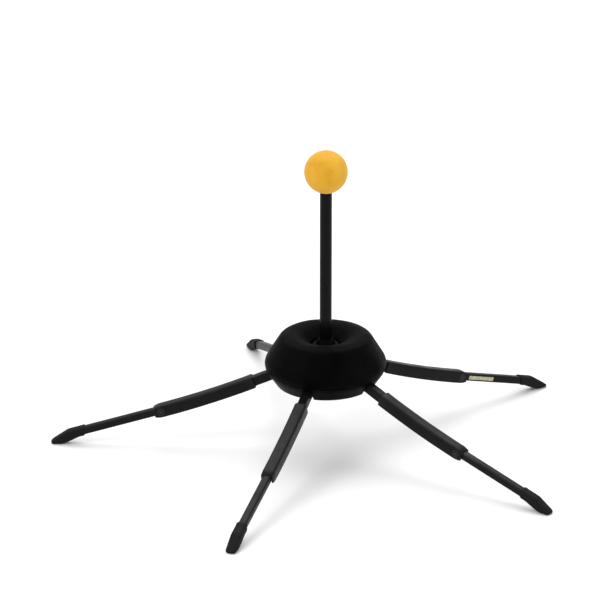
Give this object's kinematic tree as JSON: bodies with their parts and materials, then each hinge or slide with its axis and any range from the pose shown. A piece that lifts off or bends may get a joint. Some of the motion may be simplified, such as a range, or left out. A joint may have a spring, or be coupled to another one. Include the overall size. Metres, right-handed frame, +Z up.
{
  "type": "saxophone stand",
  "caption": "Compact in-bell instrument stand: a padded ring hub on folding jointed legs, with an upright peg and soft ball that hold the bell in place.",
  "frame": {"origin": "on the hub axis, at the level of the floor under the feet", "axes": "+Z up along the peg; leg 1 points to -X; the other legs follow every 72 degrees, counter-clockwise from above"},
  "size_m": [0.2904, 0.305, 0.1822],
  "materials": {
    "hub_plastic": "fine moulded texture",
    "pad_foam": "closed-cell foam",
    "pad_velvet": "short-pile velvet",
    "peg_paint": "satin black",
    "insert_brass": "machined",
    "screw_steel": "zinc plated",
    "plug_plastic": "matte",
    "ball_rubber": "matte yellow",
    "pin_steel": "ground steel",
    "leg_paint": "satin black powder coat",
    "rivet_paint": "blackened rivet",
    "foot_rubber": "matte black"
  },
  "bodies": {
    "hub": {"hub_upper": "hub_plastic", "hub_lower": "hub_plastic", "pad_core": "pad_foam", "pad_cover": "pad_velvet", "dish_cap": "hub_plastic", "peg_tube": "peg_paint", "peg_insert": "insert_brass", "peg_screw": "screw_steel", "peg_washer": "screw_steel", "tip_plug": "plug_plastic", "ball_tip": "ball_rubber", "hub_screws": "screw_steel", "base_plug": "hub_plastic", "hip_pin_1": "pin_steel", "hip_pin_2": "pin_steel", "hip_pin_3": "pin_steel", "hip_pin_4": "pin_steel", "hip_pin_5": "pin_steel"},
    "leg_1": {"leg_inner_1": "leg_paint", "knee_pin_1": "rivet_paint"},
    "leg_end_1": {"leg_outer_1": "leg_paint", "foot_1": "foot_rubber"},
    "leg_2": {"leg_inner_2": "leg_paint", "knee_pin_2": "rivet_paint"},
    "leg_end_2": {"leg_outer_2": "leg_paint", "foot_2": "foot_rubber"},
    "leg_3": {"leg_inner_3": "leg_paint", "knee_pin_3": "rivet_paint"},
    "leg_end_3": {"leg_outer_3": "leg_paint", "foot_3": "foot_rubber"},
    "leg_4": {"leg_inner_4": "leg_paint", "knee_pin_4": "rivet_paint"},
    "leg_end_4": {"leg_outer_4": "leg_paint", "foot_4": "foot_rubber"},
    "leg_5": {"leg_inner_5": "leg_paint", "knee_pin_5": "rivet_paint"},
    "leg_end_5": {"leg_outer_5": "leg_paint", "foot_5": "foot_rubber"}
  },
  "joints": [
    {"name": "hip_fold_1", "type": "hinge", "parent": "hub", "child": "leg_1", "pos_m": [-0.02475, 0, 0.04763], "axis": [0, -1, 0], "range_deg": [0, 68]},
    {"name": "knee_fold_1", "type": "hinge", "parent": "leg_1", "child": "leg_end_1", "pos_m": [-0.0955, 0, 0.0215], "axis": [0, -1, 0], "range_deg": [0, 172]},
    {"name": "hip_fold_2", "type": "hinge", "parent": "hub", "child": "leg_2", "pos_m": [-0.00765, -0.02354, 0.04763], "axis": [0.9511, -0.309, 0], "range_deg": [0, 68]},
    {"name": "knee_fold_2", "type": "hinge", "parent": "leg_2", "child": "leg_end_2", "pos_m": [-0.02951, -0.09083, 0.0215], "axis": [0.9511, -0.309, 0], "range_deg": [0, 172]},
    {"name": "hip_fold_3", "type": "hinge", "parent": "hub", "child": "leg_3", "pos_m": [0.02002, -0.01455, 0.04763], "axis": [0.5878, 0.809, 0], "range_deg": [0, 68]},
    {"name": "knee_fold_3", "type": "hinge", "parent": "leg_3", "child": "leg_end_3", "pos_m": [0.07726, -0.05613, 0.0215], "axis": [0.5878, 0.809, 0], "range_deg": [0, 172]},
    {"name": "hip_fold_4", "type": "hinge", "parent": "hub", "child": "leg_4", "pos_m": [0.02002, 0.01455, 0.04763], "axis": [-0.5878, 0.809, 0], "range_deg": [0, 68]},
    {"name": "knee_fold_4", "type": "hinge", "parent": "leg_4", "child": "leg_end_4", "pos_m": [0.07726, 0.05613, 0.0215], "axis": [-0.5878, 0.809, 0], "range_deg": [0, 172]},
    {"name": "hip_fold_5", "type": "hinge", "parent": "hub", "child": "leg_5", "pos_m": [-0.00765, 0.02354, 0.04763], "axis": [-0.9511, -0.309, 0], "range_deg": [0, 68]},
    {"name": "knee_fold_5", "type": "hinge", "parent": "leg_5", "child": "leg_end_5", "pos_m": [-0.02951, 0.09083, 0.0215], "axis": [-0.9511, -0.309, 0], "range_deg": [0, 172]}
  ]
}
